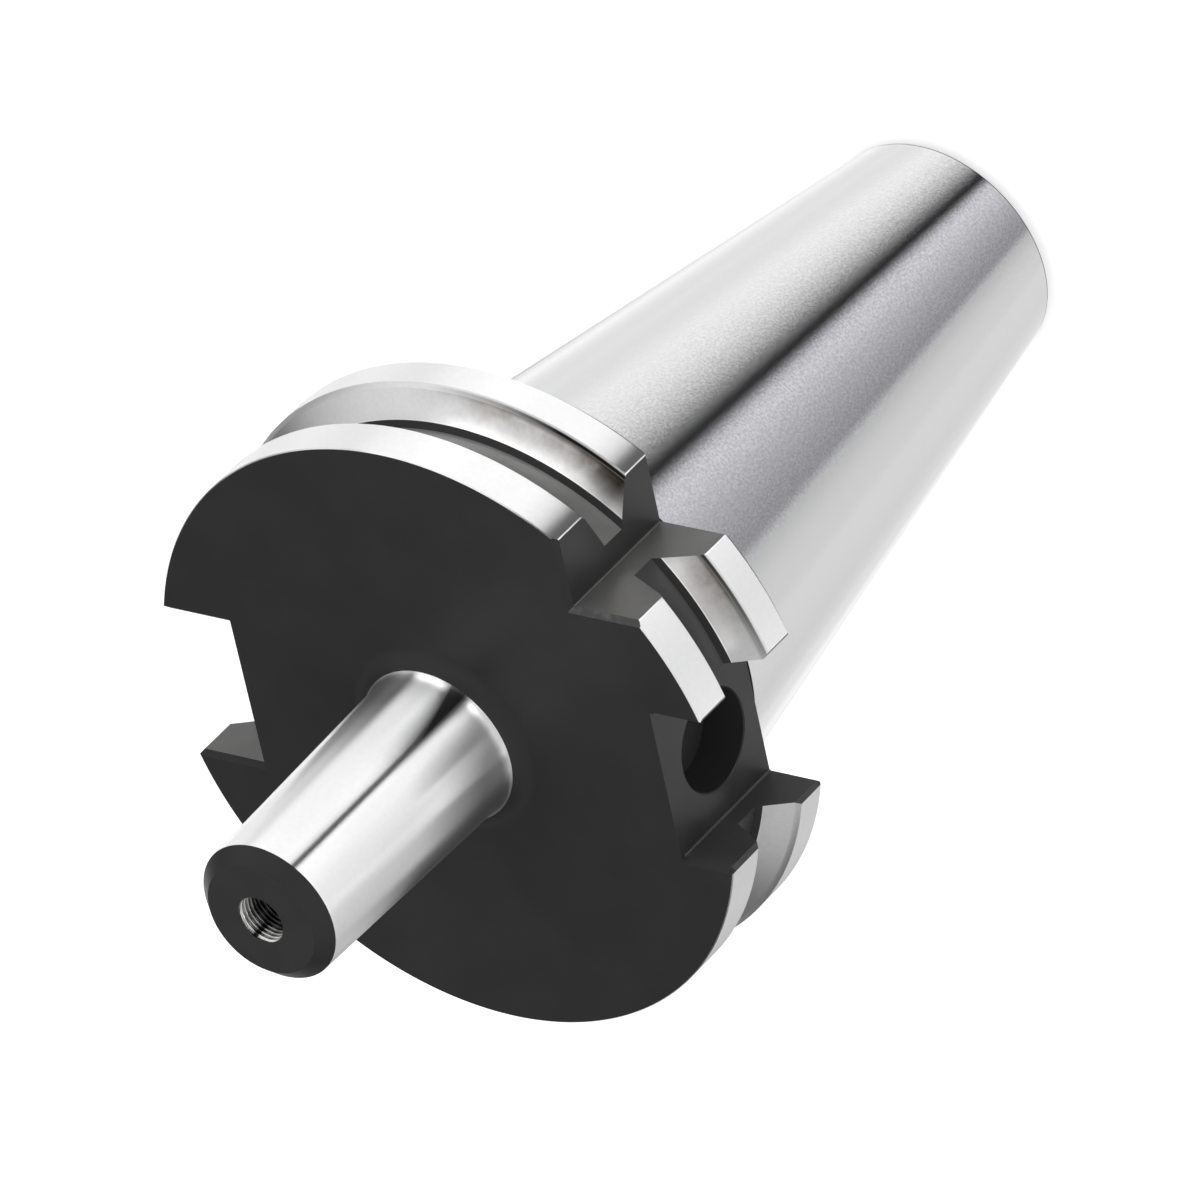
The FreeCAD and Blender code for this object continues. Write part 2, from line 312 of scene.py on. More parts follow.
screwHolePaintedShade = {  # painted shade: the draw screw hole is dark deep inside, with a painted shadow in a narrow band of its wall
    "darkBelow": 46.9, "brightAbove": 49.1, "turn": 58.5, "half": 4.0, "soft": 3.0,
    "color": (0.07, 0.07, 0.07),
}
flankStainAndPaintedLight = {  # brown stain marks towards the rim and the notch, painted shade beside the notch, and a painted highlight on the inner edge
    "color": (0.26, 0.225, 0.19), "inner": 29.4, "outer": 31.3, "atInner": 0.3,
    "patch": 1.5, "detail": 4.0, "rough": 0.6, "patchFrom": 0.35, "patchTo": 0.65,
    "even": 0.66, "patchy": 0.5,
    "byTurn": [(14, 0.0), (20, 0.1), (24, 0.4), (28, 0.7), (32, 0.9), (36, 0.4), (55, 1.0),
               (60, 0.95), (64, 0.63), (74, 0.5), (81, 0.72), (88, 0.29), (100, 0.0)],
    "dullByTurn": [(14, 0.1), (20, 0.3), (26, 0.45), (30, 0.3), (36, 0.2), (50, 0.0)],
    "dullColor": (0.4, 0.39, 0.375),
    "cornerByTurn": [(50, 0.0), (54, 1.0), (57, 0.85), (60, 0.2), (64, 0.0)],
    "cornerInner": 29.2, "cornerOuter": 30.8, "cornerColor": (0.06, 0.049, 0.039),
    "lipRadius": 28.76, "lipWidth": 0.14, "lipColor": (0.97, 0.97, 0.97),
}
rimStrip = {  # a dark strip on the flank's outer edge and its bevel, over a range of angles about the axis
    "byTurn": [(11, 0.0), (16, 0.6), (24, 0.85), (32, 0.95), (56, 1.0), (68, 1.0), (74, 0.8),
               (80, 0.5), (88, 0.25), (94, 0.0)],
    "inner": 31.0, "outer": 31.46, "end": 31.6, "fade": 0.08, "color": (0.02, 0.018, 0.016),
}
neckPaintedReflection = {  # a painted dark reflection: a wedge on the neck that narrows towards the tip
    "firstTurn": 54.0, "lastTurn": 66.8, "from": 20.5, "narrows": 1.6, "soft": 1.6,
    "color": (0.32, 0.32, 0.32),
}
coating = {"grainDetail": 3.0, "patchDetail": 3.0, "varies": 0.1}  # what all the oxides share
oxides = {  # each goes from "color" to "light" in patches
    "blackOxide": {
        "color": (0.0335, 0.0335, 0.0337), "light": (0.039, 0.039, 0.0393),
        "patch": 6.0, "patchFrom": 0.3, "patchTo": 0.7, "roughness": 0.42, "ior": 1.25,
        "grain": 0.25, "grainDepth": 0.003,
    },
    # a darker, shinier copy of the oxide: painted shade on the notch's upper wall and the groove
    # floor's short arcs; on the stub's end face it comes out lighter than the front face, painted
    # light
    "slotOxide": {
        "color": (0.024, 0.024, 0.024), "light": (0.03, 0.03, 0.0297),
        "patch": 3.0, "patchFrom": 0.3, "patchTo": 0.7, "roughness": 0.4, "ior": 1.5,
        "grain": 0.3, "grainDepth": 0.003,
    },
    "wallOxide": {
        "color": (0.054, 0.054, 0.0537), "light": (0.065, 0.065, 0.0644),
        "patch": 3.0, "patchFrom": 0.3, "patchTo": 0.7, "roughness": 0.4, "ior": 1.5,
        "grain": 0.3, "grainDepth": 0.003,
    },
    # a lighter copy of the oxide, for faces that catch more light: painted light
    "paintedLightOxide": {
        "color": (0.11, 0.1086, 0.106), "light": (0.139, 0.137, 0.1334),
        "patch": 3.0, "patchFrom": 0.3, "patchTo": 0.7, "roughness": 0.38, "ior": 1.75,
        "grain": 0.35, "grainDepth": 0.003,
    },
    "wornOxide": {
        "color": (0.02, 0.02, 0.02), "light": (0.09, 0.09, 0.088),
        "patch": 1.0, "patchFrom": 0.5, "patchTo": 0.75, "roughness": 0.4, "ior": 1.7,
        "grain": 0.35, "grainDepth": 0.004,
    },
}


def newGraph(name):
    # a new material, its nodes and the place on the piece in millimetres
    material = bpy.data.materials.new(name)
    material.use_nodes = True
    graph = Graph(material.node_tree)
    place = graph.add("ShaderNodeTexCoord", {}, {}, output="Object")
    scaled = graph.add("ShaderNodeVectorMath", {"operation": "SCALE"},
                       {0: place, "Scale": 1 / millimetre})
    return material, graph, scaled


def noise(graph, place, size, detail, roughness=0.5):
    return graph.add("ShaderNodeTexNoise", {"noise_dimensions": "3D"},
                     {"Vector": place, "Scale": 1 / size, "Detail": detail,
                      "Roughness": roughness})


def axes(graph, vector):
    parts = graph.add("ShaderNodeSeparateXYZ", {}, {"Vector": vector})
    return [Wire(graph.tree, socket) for socket in parts.socket.node.outputs]


def mixed(graph, amount, first, second, blend="MIX"):
    # a colour is a wire or three numbers; inputs 6 and 7 and output 2 are a Mix node's colours
    first, second = (color if isinstance(color, Wire) else (*color, 1)
                     for color in (first, second))
    return graph.add("ShaderNodeMix", {"data_type": "RGBA", "blend_type": blend},
                     {"Factor": amount, 6: first, 7: second}, output=2)


def bumped(graph, height, depth):
    return graph.add("ShaderNodeBump", {}, {"Strength": 1.0, "Height": height,
                                            "Distance": depth * millimetre})


def share(wire, start, end):
    # 0 at start and 1 at end, held outside
    return ((wire - start) / (end - start)).maths("ADD", 0.0, clamp=True)


def radiusOf(graph, place):
    x, y, z = axes(graph, place)
    return (x * x + y * y).maths("SQRT")


def byTurn(graph, place, stops):
    # levels at angles between +X and -X about the axis, held beyond the first and the last
    x, y, z = axes(graph, place)
    places = [(angle / 180, level) for angle, level in stops]
    return graph.add("ShaderNodeValToRGB", {"stops": places},
                     {"Fac": y.maths("ARCTAN2", x) / math.pi})


def paintFlankStainAndLight(graph, place, color, values):
    # stain = byTurn * (outward * even + patch * patchy) * (outward + atInner), at most 1
    radius = radiusOf(graph, place)
    outward = share(radius, values["inner"], values["outer"])
    cloud = noise(graph, place, values["patch"], values["detail"], values["rough"])
    patch = share(cloud, values["patchFrom"], values["patchTo"])
    color = mixed(graph, byTurn(graph, place, values["dullByTurn"]), color,
                  values["dullColor"])
    cover = outward * values["even"] + patch * values["patchy"]
    stain = byTurn(graph, place, values["byTurn"]) * cover
    stain = stain * (outward + values["atInner"]).maths("MINIMUM", 1.0)
    color = mixed(graph, stain, color, values["color"])
    # painted shade beside the notch, towards the rim
    corner = share(radius, values["cornerInner"], values["cornerOuter"])
    corner = byTurn(graph, place, values["cornerByTurn"]) * corner
    color = mixed(graph, corner, color, values["cornerColor"])
    # a painted highlight along the inner edge of the ground flank
    highlight = 1 - share(radius, values["lipRadius"], values["lipRadius"] + values["lipWidth"])
    return mixed(graph, highlight, color, values["lipColor"])


def darkenStrip(graph, place, color, values):
    # dark towards the rim and on its bevel, except the last sliver beside the rim
    radius = radiusOf(graph, place)
    towards = share(radius, values["inner"], values["outer"])
    past = share(radius, values["end"], values["end"] + values["fade"])
    strip = towards * (1 - past) * byTurn(graph, place, values["byTurn"])
    return mixed(graph, strip, color, values["color"])


def paintNeckReflection(graph, place, color, values):
    # a painted dark reflection, from the first turn to a last turn that falls by "narrows" for
    # each millimetre up
    x, y, z = axes(graph, place)
    turn = y.maths("ARCTAN2", x) * (180 / math.pi)
    last = values["lastTurn"] - (z - values["from"]) * values["narrows"]
    begins = share(turn, values["firstTurn"], values["firstTurn"] + values["soft"])
    ends = share(last - turn, 0.0, values["soft"])
    return mixed(graph, begins * ends, color, values["color"])


def paintScrewHoleShade(graph, place, color, values):
    # painted shade deep in the hole and a painted shadow in a narrow band of its wall; the angle
    # is counted from -X, so that the band isn't where it jumps by a full turn
    x, y, z = axes(graph, place)
    turn = (y * -1).maths("ARCTAN2", x * -1) * (180 / math.pi)
    beside = share((turn - values["turn"]).maths("ABSOLUTE"), values["half"],
                   values["half"] + values["soft"])
    shallow = share(z, values["darkBelow"], values["brightAbove"])
    return mixed(graph, beside * shallow, values["color"], color)


# colour changes on the steels: the flank's stain, and painted shade, shadow, highlight and
# reflection
marks = {
    "flankSteel": [(paintFlankStainAndLight, flankStainAndPaintedLight), (darkenStrip, rimStrip)],
    "bevelSteel": [(darkenStrip, rimStrip)],
    "coneSteel": [(paintNeckReflection, neckPaintedReflection)],
    "neckSteel": [(paintNeckReflection, neckPaintedReflection)],
    "screwSteel": [(paintScrewHoleShade, screwHolePaintedShade)],
}


def steelMaterial(name, values):
    material, graph, place = newGraph(name)
    fine = noise(graph, place, values["grain"], grinding["grainDetail"])
    rings = graph.add("ShaderNodeMapping", {}, {"Vector": place, "Scale": grinding["stretch"]})
    streak = noise(graph, rings, 1.0, grinding["streakDetail"])
    color = values["color"]
    for change, mark in marks.get(name, []):
        color = change(graph, place, color, mark)
    dull = (streak - 0.5).maths("ABSOLUTE") * 2 * values["streak"]
    color = mixed(graph, dull, color, grinding["streakColor"], "MULTIPLY")
    speckle = values["speckle"]
    # speckleByTurn makes the speckle stronger over a band of angles, a painted grainy reflection
    # on top of the grain
    if "speckleByTurn" in values:
        speckle = byTurn(graph, place, values["speckleByTurn"]) * speckle
    speck = share(fine, grinding["speckleFrom"], grinding["speckleTo"])
    speckled = (speck - 0.5) * speckle + values["speckle"] / 2
    color = mixed(graph, speckled, color, grinding["speckleColor"], "MULTIPLY")
    relief = {}
    if "grainDepth" in values:
        relief["Normal"] = bumped(graph, fine, values["grainDepth"])
    shader = graph.add("ShaderNodeBsdfPrincipled", {}, {
        "Base Color": color, "Metallic": 1.0,
        "Roughness": (fine - 0.5) * values["varies"] + values["roughness"],
        "Anisotropic": values["anisotropic"],
        "Anisotropic Rotation": grinding["brushedRound"], **relief})
    graph.add("ShaderNodeOutputMaterial", {}, {"Surface": shader})
    return material


def oxideMaterial(name, values):
    material, graph, place = newGraph(name)
    fine = noise(graph, place, values["grain"], coating["grainDetail"])
    cloud = noise(graph, place, values["patch"], coating["patchDetail"])
    color = mixed(graph, share(cloud, values["patchFrom"], values["patchTo"]), values["color"],
                  values["light"])
    shader = graph.add("ShaderNodeBsdfPrincipled", {}, {
        "Base Color": color, "Metallic": 0.0, "IOR": values["ior"],
        "Roughness": (cloud - 0.5) * coating["varies"] + values["roughness"],
        "Normal": bumped(graph, fine, values["grainDepth"])})
    graph.add("ShaderNodeOutputMaterial", {}, {"Surface": shader})
    return material


materials = [steelMaterial(name, values) for name, values in steels.items()]
materials += [oxideMaterial(name, values) for name, values in oxides.items()]
finishOf = {name: number for number, name in enumerate([*steels, *oxides])}
print("finishes:", list(finishOf))

# the arbor, in the part's own sizes
arbor = {
    "rimRadius": 31.775, "rearFace": 3.2, "frontFace": 19.1,
    "rearBevel": 0.9, "slotBevel": 0.5, "notchBevel": 0.5, "rimBreak": 0.1,
    "grooveMiddle": 11.1, "grooveHalf": 3.535, "grooveBevel": 0.43, "grooveDepth": 3.65,
    "grooveSlope": math.tan(math.radians(30)), "groundDownTo": 28.76,
    "slotHalf": 8.05, "chipFloor": 25.0, "plainFloor": 22.8, "cornerRound": 0.2,
    "mouthSlope": 1, "mouthSlopeByNotch": 1.5,
    "chipHoleRadius": 5.0, "chipHoleDepth": 4.6, "chipHoleBreak": 0.12,
    "notchWall": 18.5, "notchBreak": 0.08, "notchBreakSlope": 0.5,
    "gaugeRadius": 22.225, "taperSlope": 7 / 48, "shankEnd": -68.4, "tailBevel": 1.0,
    "tailLine": 0.1,
    "reliefStart": 0.6, "reliefDepth": 0.4, "reliefFillet": 0.8,
    "coneRadius": 7.8665, "coneSlope": 0.024975, "coneGauge": 25.4, "tip": 49.4,
    "tipBevel": 1.4, "neckFillet": 2.4, "neckGroundFrom": 60.0,
    "pilotRadius": 8.5, "pilotEnd": -60.2, "pilotBevel": 1.0, "drillSlope": 0.6009,
    "turnSteps": 360, "sharpAngle": 24.0,
    "slotSteps": (8, 4, 8, 3),  # half the floor, its corner, the wall and the mouth
    "notchSteps": (3, 9, 2),  # half the corner, a wall and its break
    "rimSteps": (22, 112, 152),  # the rim from the chip slot to the notch, and so on round
    "chipHoleSteps": 96, "reliefSteps": 8, "taperSteps": 18,
    "neckDarkSteps": 12, "neckDullSteps": 2, "neckBrightSteps": 6, "coneSteps": 12,
}
# the root's flat and the flank are shares of half a pitch
threadForm = {"rootFlat": 0.125, "flank": 0.625, "rowsPerTurn": 10}
studThread = {
    **threadForm, "top": -25.9, "bottom": -60.2, "pitch": 2.0, "root": 8.0, "crest": 6.9175,
    "leadIn": 2.0, "steps": 96, "drillEnd": -25.9, "finish": "threadSteel",
}
screwThread = {
    **threadForm, "top": 49.3, "bottom": 34.4, "pitch": 0.5, "root": 2.72, "crest": 2.4585,
    "leadIn": 0.3, "steps": 72, "mouth": 2.47, "drillEnd": 30.4, "finish": "screwSteel",
}


def flangeLevels(a):
    # rows of height, rim radius, growth of slot walls, chip floor and notch walls
    bevelHalf = a["grooveHalf"] - a["grooveBevel"] * a["grooveSlope"]
    mouth = math.sqrt(a["rimRadius"]**2 - a["slotHalf"]**2) - a["slotBevel"]
    mouthRadius = math.hypot(mouth, a["slotHalf"])
    rear, rim, floorRadius = a["rearBevel"], a["rimRadius"], a["rimRadius"] - a["grooveDepth"]

    def flank(radius, side):
        depth = rim - radius
        return a["grooveMiddle"] + side * (a["grooveHalf"] - depth * a["grooveSlope"])

    def groove(side):
        top = rim - a["grooveBevel"]
        return [(a["grooveMiddle"] + side * (bevelHalf + a["grooveBevel"]), rim),
                (flank(top, side), top), (flank(mouthRadius, side), mouthRadius),
                (flank(a["groundDownTo"], side), a["groundDownTo"]),
                (flank(floorRadius, side), floorRadius)]

    front = a["frontFace"]
    keys = [(a["rearFace"], rim - rear, rear, rear, rear), (a["rearFace"] + rear, rim, 0, 0, 0)]
    keys += [(z, r, 0, 0, 0) for z, r in groove(-1) + groove(1)[::-1]]
    keys += [(front - a["slotBevel"], rim, 0, 0, 0),
             (front - a["rimBreak"], rim, a["slotBevel"] - a["rimBreak"], 0,
              a["notchBevel"] - a["rimBreak"]),
             (front, rim - a["rimBreak"], a["slotBevel"], 0, a["notchBevel"])]
    # the number of steps from each key to the next, and the rim's finish between them; the groove
    # floor takes paintedLightOxide, a lighter copy of the oxide, which is painted light
    stretches = [(6, "blackOxide"), (3, "rimSteel"), (2, "bevelSteel"), (1, "flankSteel"),
                 (5, "flankSteel"), (2, "blackOxide"), (4, "paintedLightOxide"), (2, "blackOxide"),
                 (5, "flankSteel"), (1, "flankSteel"), (2, "bevelSteel"), (3, "rimSteel"),
                 (4, "rimSteel"), (2, "rimSteel")]
    steps, rimNames = zip(*stretches)

    def wall(side, frontBevel):
        # the finish up a wall: its rear bevel, its side and its front bevel
        return ["blackOxide"] + [side] * (len(stretches) - 3) + [frontBevel] * 2

    # the plain slot's lower half and the notch's lower wall also take the lighter copy, painted
    # light; the notch's upper wall, and the groove floor on the short arcs, take the darker
    # slotOxide, painted shade
    columns = {
        "rim": rimNames,
        "shortRim": ["slotOxide" if name == "paintedLightOxide" else name for name in rimNames],
        "slotWall": wall("wallOxide", "blackOxide"),
        "plainSlotWall": wall("paintedLightOxide", "blackOxide"),
        "notchUpper": wall("slotOxide", "blackOxide"),
        "notchLower": wall("paintedLightOxide", "wornOxide"),
    }
    keys = np.array(keys, float)
    at = np.repeat(np.arange(len(steps)), steps)
    t = np.concatenate([np.arange(n) / n for n in steps])[:, None]
    levels = np.vstack([keys[at] * (1 - t) + keys[at + 1] * t, keys[-1:]])
    finish = {name: np.array([finishOf[column[i]] for i in at])
              for name, column in columns.items()}
    return levels, finish, mouth


def flangeSides(a):
    # one closed outline for each level, from the rear face to the front face
    levels, finishDown, mouth = flangeLevels(a)
    z, rim, slotGrow, floorGrow, notchGrow = levels.T
    slotCounts, notchCounts = a["slotSteps"], a["notchSteps"]
    toNotch, toPlainSlot, toChipSlot = a["rimSteps"]
    corner = a["cornerRound"]
    # half of each slot and half of the notch; the other halves are mirrored
    chipFloor, plainFloor = a["chipFloor"] - floorGrow, a["plainFloor"] + 0 * rim
    chip, chipLower, plain = (
        slotHalf(floor, a["slotHalf"] + slotGrow, corner, mouth + slotGrow, a[slope], rim,
                 slotCounts)
        for floor, slope in ((chipFloor, "mouthSlopeByNotch"), (chipFloor, "mouthSlope"),
                             (plainFloor, "mouthSlope")))
    wall = a["notchWall"] - notchGrow
    breakStart = math.sqrt(a["rimRadius"]**2 - a["notchWall"]**2) - a["notchBreak"]
    lower = notchHalf(wall, corner, breakStart + notchGrow / a["notchBreakSlope"],
                      a["notchBreakSlope"], rim, notchCounts)
    upper = lower[:, :, ::-1]
    plainUp, plainDown, chipDown = plain * [-1, 1], plain * [-1, -1], chipLower * [1, -1]
    # the outline of every level, counterclockwise from the middle of the chip slot's floor
    notchBreak = notchCounts[2]
    pieces = [("slotWall", chip[:, :-1]),
              ("shortRim", rimArc(chip[:, -1], lower[:, -1], rim, toNotch)),
              ("shortRim", lower[:, :-1 - notchBreak:-1]),
              ("notchLower", lower[:, -1 - notchBreak:0:-1]),
              ("notchUpper", upper[:, :-1 - notchBreak]),
              ("rim", upper[:, -1 - notchBreak:-1]),
              ("rim", rimArc(upper[:, -1], plainUp[:, -1], rim, toPlainSlot)),
              ("slotWall", plainUp[:, :0:-1]), ("plainSlotWall", plainDown[:, :-1]),
              ("shortRim", rimArc(plainDown[:, -1], chipDown[:, -1], rim, toChipSlot)),
              ("slotWall", chipDown[:, :0:-1])]
    outline = np.concatenate([piece for name, piece in pieces], 1)
    points = np.concatenate([outline, np.broadcast_to(
        z[:, None, None], (*outline.shape[:2], 1))], 2)
    finish = np.concatenate([np.repeat(finishDown[name][:, None], piece.shape[1], 1)
                             for name, piece in pieces], 1)
    # the chip slot's floor is left out, and the loop runs round it for the face with the hole
    floorStep = slotCounts[0]
    firstRow = int(np.argmax(floorGrow == 0))
    keep = np.ones(finish.shape, bool)
    keep[firstRow:, :floorStep] = False
    keep[firstRow:, -floorStep:] = False
    columns = np.arange(-floorStep, floorStep + 1)
    frameLoop = np.concatenate([
        points[firstRow, columns[:-1]], points[firstRow:-1, floorStep],
        points[-1, columns[:0:-1]], points[:firstRow:-1, -floorStep]])
    return points, finish, keep, frameLoop


def chipHole(a, frameLoop):
    # a round blind hole along -X: a small break, the wall and a flat bottom
    r, edge, floor = a["chipHoleRadius"], a["chipHoleBreak"], a["chipFloor"]
    profile = [(r + edge, floor), (r, floor - edge), (r, floor - a["chipHoleDepth"] / 2),
               (r, floor - a["chipHoleDepth"]), (0, floor - a["chipHoleDepth"])]
    ring = turned(profile, a["chipHoleSteps"])
    hole = np.stack([ring[:, :, 2], ring[:, :, 0], ring[:, :, 1] + a["grooveMiddle"]], 2)
    return [gridPatch(hole, finishOf["blackOxide"]),
            flatPatch([frameLoop, hole[0]], [1, 2], finishOf["slotOxide"])]


def shankProfile(a):
    # relief fillet, relief, taper, tail bevel, tail ring and pilot bore, from the rear face
    fillet = a["reliefFillet"]
    relief = a["gaugeRadius"] - a["reliefDepth"]
    t = np.linspace(0, math.pi / 2, a["reliefSteps"] + 1)
    rows = [(relief + fillet * (1 - s), a["rearFace"] - fillet * (1 - c))
            for s, c in zip(np.sin(t), np.cos(t))]
    finish = ["blackOxide"] * a["reliefSteps"]

    def taper(z):
        return a["gaugeRadius"] + z * a["taperSlope"]

    start, end = a["reliefStart"], a["shankEnd"] + a["tailBevel"]
    rows += [(relief, start + a["reliefDepth"]), (taper(start), start)]
    finish += ["blackOxide"] * 2
    heights = np.linspace(start, end + a["tailLine"], a["taperSteps"] + 1)[1:]
    rows += [(taper(z), z) for z in heights] + [(taper(end), end)]
    finish += ["taperSteel"] * a["taperSteps"] + ["blackOxide"]
    tail = a["shankEnd"]
    rows += [(taper(tail) - a["tailBevel"], tail),
             (a["pilotRadius"] + a["pilotBevel"], tail),
             (a["pilotRadius"], tail + a["pilotBevel"]), (a["pilotRadius"], a["pilotEnd"])]
    finish += ["blackOxide"] * 4
    return rows, finish


def coneProfile(a):
    # neck fillet, cone and tip bevel, from the front face
    lean = math.hypot(1, a["coneSlope"])

    def cone(z):
        return a["coneRadius"] - (z - a["coneGauge"]) * a["coneSlope"]

    size, base = a["neckFillet"], a["frontFace"]
    centre = cone(base + size) + size * lean
    last = math.pi / 2 - math.atan(a["coneSlope"])
    ground = math.radians(a["neckGroundFrom"])
    dark, dull, bright = a["neckDarkSteps"], a["neckDullSteps"], a["neckBrightSteps"]
    t = np.concatenate([np.linspace(0, ground, dark + 1),
                        np.linspace(ground, last, dull + bright + 1)[1:]])
    rows = [(centre - size * s, base + size * (1 - c)) for s, c in zip(np.sin(t), np.cos(t))]
    finish = ["blackOxide"] * dark + ["neckSteel"] * dull + ["coneSteel"] * bright
    top = a["tip"] - a["tipBevel"]
    rows += [(cone(z), z) for z in np.linspace(rows[-1][1], top, a["coneSteps"] + 1)[1:]]
    finish += ["coneSteel"] * a["coneSteps"]
    rows += [(cone(a["tip"]) - a["tipBevel"], a["tip"])]
    finish += ["blackOxide"]
    return rows, finish


def turnedPatch(rows, finish, steps):
    return gridPatch(turned(rows, steps), np.array([finishOf[n] for n in finish])[:, None])


def holePatches(a, thread, direction):
    # the threaded wall, then a plain wall and the drill's cone
    wall = threadSurface(thread)[::-direction]
    end, finish = thread["drillEnd"], finishOf[thread["finish"]]
    tip = end + direction * thread["crest"] * a["drillSlope"]
    rest = turned([(thread["crest"], wall[-1, 0, 2]), (thread["crest"], end), (0, tip)],
                  thread["steps"])
    return [gridPatch(wall, finish), gridPatch(rest, finish)]


sides, sideFinish, sideKeep, chipFrame = flangeSides(arbor)
shankRows, shankFinish = shankProfile(arbor)
coneRows, coneFinish = coneProfile(arbor)
steps = arbor["turnSteps"]
shankRing, coneRing = turned(shankRows, steps), turned(coneRows, steps)
studMouth = turned([(studThread["crest"], studThread["bottom"])], studThread["steps"])
screwMouth = turned([(screwThread["mouth"], arbor["tip"]),
                     (screwThread["crest"], screwThread["top"])], screwThread["steps"])
black = finishOf["blackOxide"]
arborPatches = [
    gridPatch(sides, sideFinish, keep=sideKeep), *chipHole(arbor, chipFrame),
    turnedPatch(shankRows, shankFinish, steps), turnedPatch(coneRows, coneFinish, steps),
    flatPatch([sides[0], shankRing[0]], [0, 1], black),
    flatPatch([sides[-1], coneRing[0]], [0, 1], black),
    *holePatches(arbor, studThread, 1), *holePatches(arbor, screwThread, -1),
    gridPatch(screwMouth, finishOf["screwSteel"]),
    flatPatch([shankRing[-1], studMouth[0]], [0, 1], black),
    # the stub's end face takes slotOxide so that it comes out lighter than the front face:
    # painted light
    flatPatch([coneRing[-1], screwMouth[0]], [0, 1], finishOf["slotOxide"]),
]
arborBody = onePiece("arborBody", arborPatches, materials, arbor["sharpAngle"])
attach(arborBody, "root")
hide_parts("arbor")
print("arbor built")

# floor
floorValues = {"size": 4.0, "color": (0.86, 0.86, 0.86), "toCamera": 0.67}  # metres


def makeFloor(values, height):
    mesh = bpy.data.meshes.new("floor")
    half = values["size"] / 2
    corners = np.array([[-1, -1], [1, -1], [1, 1], [-1, 1]]) * half
    mesh.from_pydata([(*corner, height) for corner in corners], [], [(0, 1, 2, 3)])
    floor = bpy.data.objects.new("floor", mesh)
    bpy.context.scene.collection.objects.link(floor)
    material = bpy.data.materials.new("paleFloor")
    material.use_nodes = True
    graph = Graph(material.node_tree)
    toCamera = graph.add("ShaderNodeLightPath", {}, {}, output="Is Camera Ray")
    diffuse = graph.add("ShaderNodeBsdfDiffuse", {}, {"Color": (*values["color"], 1)})
    glow = graph.add("ShaderNodeEmission", {}, {"Strength": toCamera * values["toCamera"]})
    both = graph.add("ShaderNodeAddShader", {}, {0: diffuse, 1: glow})
    graph.add("ShaderNodeOutputMaterial", {}, {"Surface": both})
    mesh.materials.append(material)
    floor.visible_glossy = False
    return floor


makeFloor(floorValues, arbor["shankEnd"] * millimetre)

# studio light by direction: each band lists levels at angles, and the bands rise from straight
# down to straight up. "edges" holds the heights at which one gives way to the next, and a dark
# gap parts two soft panels. All bands but the last turn about "steepFrom", which is off the
# middle, on the photograph's viewing direction, so their borders run along taper and cone.
studio = {
    "bands": [
        [(-180, 0.9), (-60, 0.4), (-36, 0.1), (-28, 0.1), (-20, 0.78), (-12, 0.86), (4, 0.84),
         (12, 0.79), (17, 0.72), (21, 0.61), (22.5, 0.58), (25, 0.31), (28, 0.33), (32, 0.39),
         (37, 0.49), (42, 0.63), (47, 0.78), (50, 0.69), (53, 0.15), (55, 0.01), (57, 0.08),
         (59, 0.17), (62, 0.42), (66, 0.69), (70, 0.91), (75, 1.06), (82, 1.08), (90, 0.98),
         (100, 0.95), (112, 1.13), (124, 1.36), (180, 0.9)],
        [(-180, 0.85), (-60, 0.6), (-38, 1.1), (-26, 1.15), (-18, 1.0), (-10, 0.3), (5, 0.45),
         (7, 0.0), (74, 0.0), (80, 0.4), (87, 0.25), (93, 0.35), (95, 0.65), (102, 0.65),
         (110, 1.15), (118, 0.9), (125, 0.0), (132, 0.45), (180, 0.85)],
        [(-180, 1.5), (-60, 0.5), (-38, 0.05), (-26, 0.2), (-18, 0.4), (-10, 1.5), (5, 1.6),
         (7, 1.9), (14, 2.6), (21, 2.0), (26, 2.4), (29, 2.8), (36, 2.4), (42, 1.5), (48, 0.2),
         (54, 4.7), (58, 4.4), (63, 3.6), (68, 1.6), (74, 0.25), (80, 0.85), (87, 0.35),
         (93, 1.7), (95, 1.8), (102, 1.9), (110, 1.3), (118, 1.7), (125, 3.6), (132, 1.6),
         (180, 1.5)],
        [(-180, 0.35), (-60, 0.3), (-38, 0.0), (14, 0.05), (21, 1.7), (26, 1.35), (29, 0.15),
         (36, 2.5), (48, 8.0), (74, 8.0), (80, 6.4), (87, 7.8), (93, 2.9), (95, 0.0), (132, 0.0),
         (180, 0.35)],
        [(-180, 0.35), (-60, 0.25), (-38, 0.0), (-18, 0.0), (-3, 1.35), (5, 1.0), (7, 2.6),
         (14, 2.3), (21, 0.9), (26, 1.35), (29, 2.0), (36, 0.6), (42, 0.0), (87, 0.0), (93, 1.45),
         (95, 0.2), (102, 1.5), (110, 0.75), (118, 0.2), (125, 0.4), (132, 0.0), (180, 0.35)],
        [(-180, 0.75), (-160, 0.5), (-140, 0.25), (-110, 0.35), (-89, 0.65), (-40, 0.6), (0, 0.7),
         (45, 0.85), (55, 0.8), (59, 0.0), (80, 0.0), (86, 0.9), (150, 0.9), (180, 0.75)],
    ],
    "edges": [(-0.74, -0.68), (-0.56, -0.46), (-0.26, -0.15), (0.02, 0.2), (0.3, 0.55)],
    "gapZone": (-0.374, 0.12), "gapMiddle": (55.2, 60.8), "gapHalf": (1.7, 8.7),
    "gapSoft": (0.5, 4.5),
    "steepFrom": (0.5504, 0.5342), "tint": (0.972, 0.965, 1.03),
    "tintAt": [(-180, 0.0), (21, 0.0), (25, 1.0), (52, 1.0), (60, 0.0), (180, 0.0)],
}


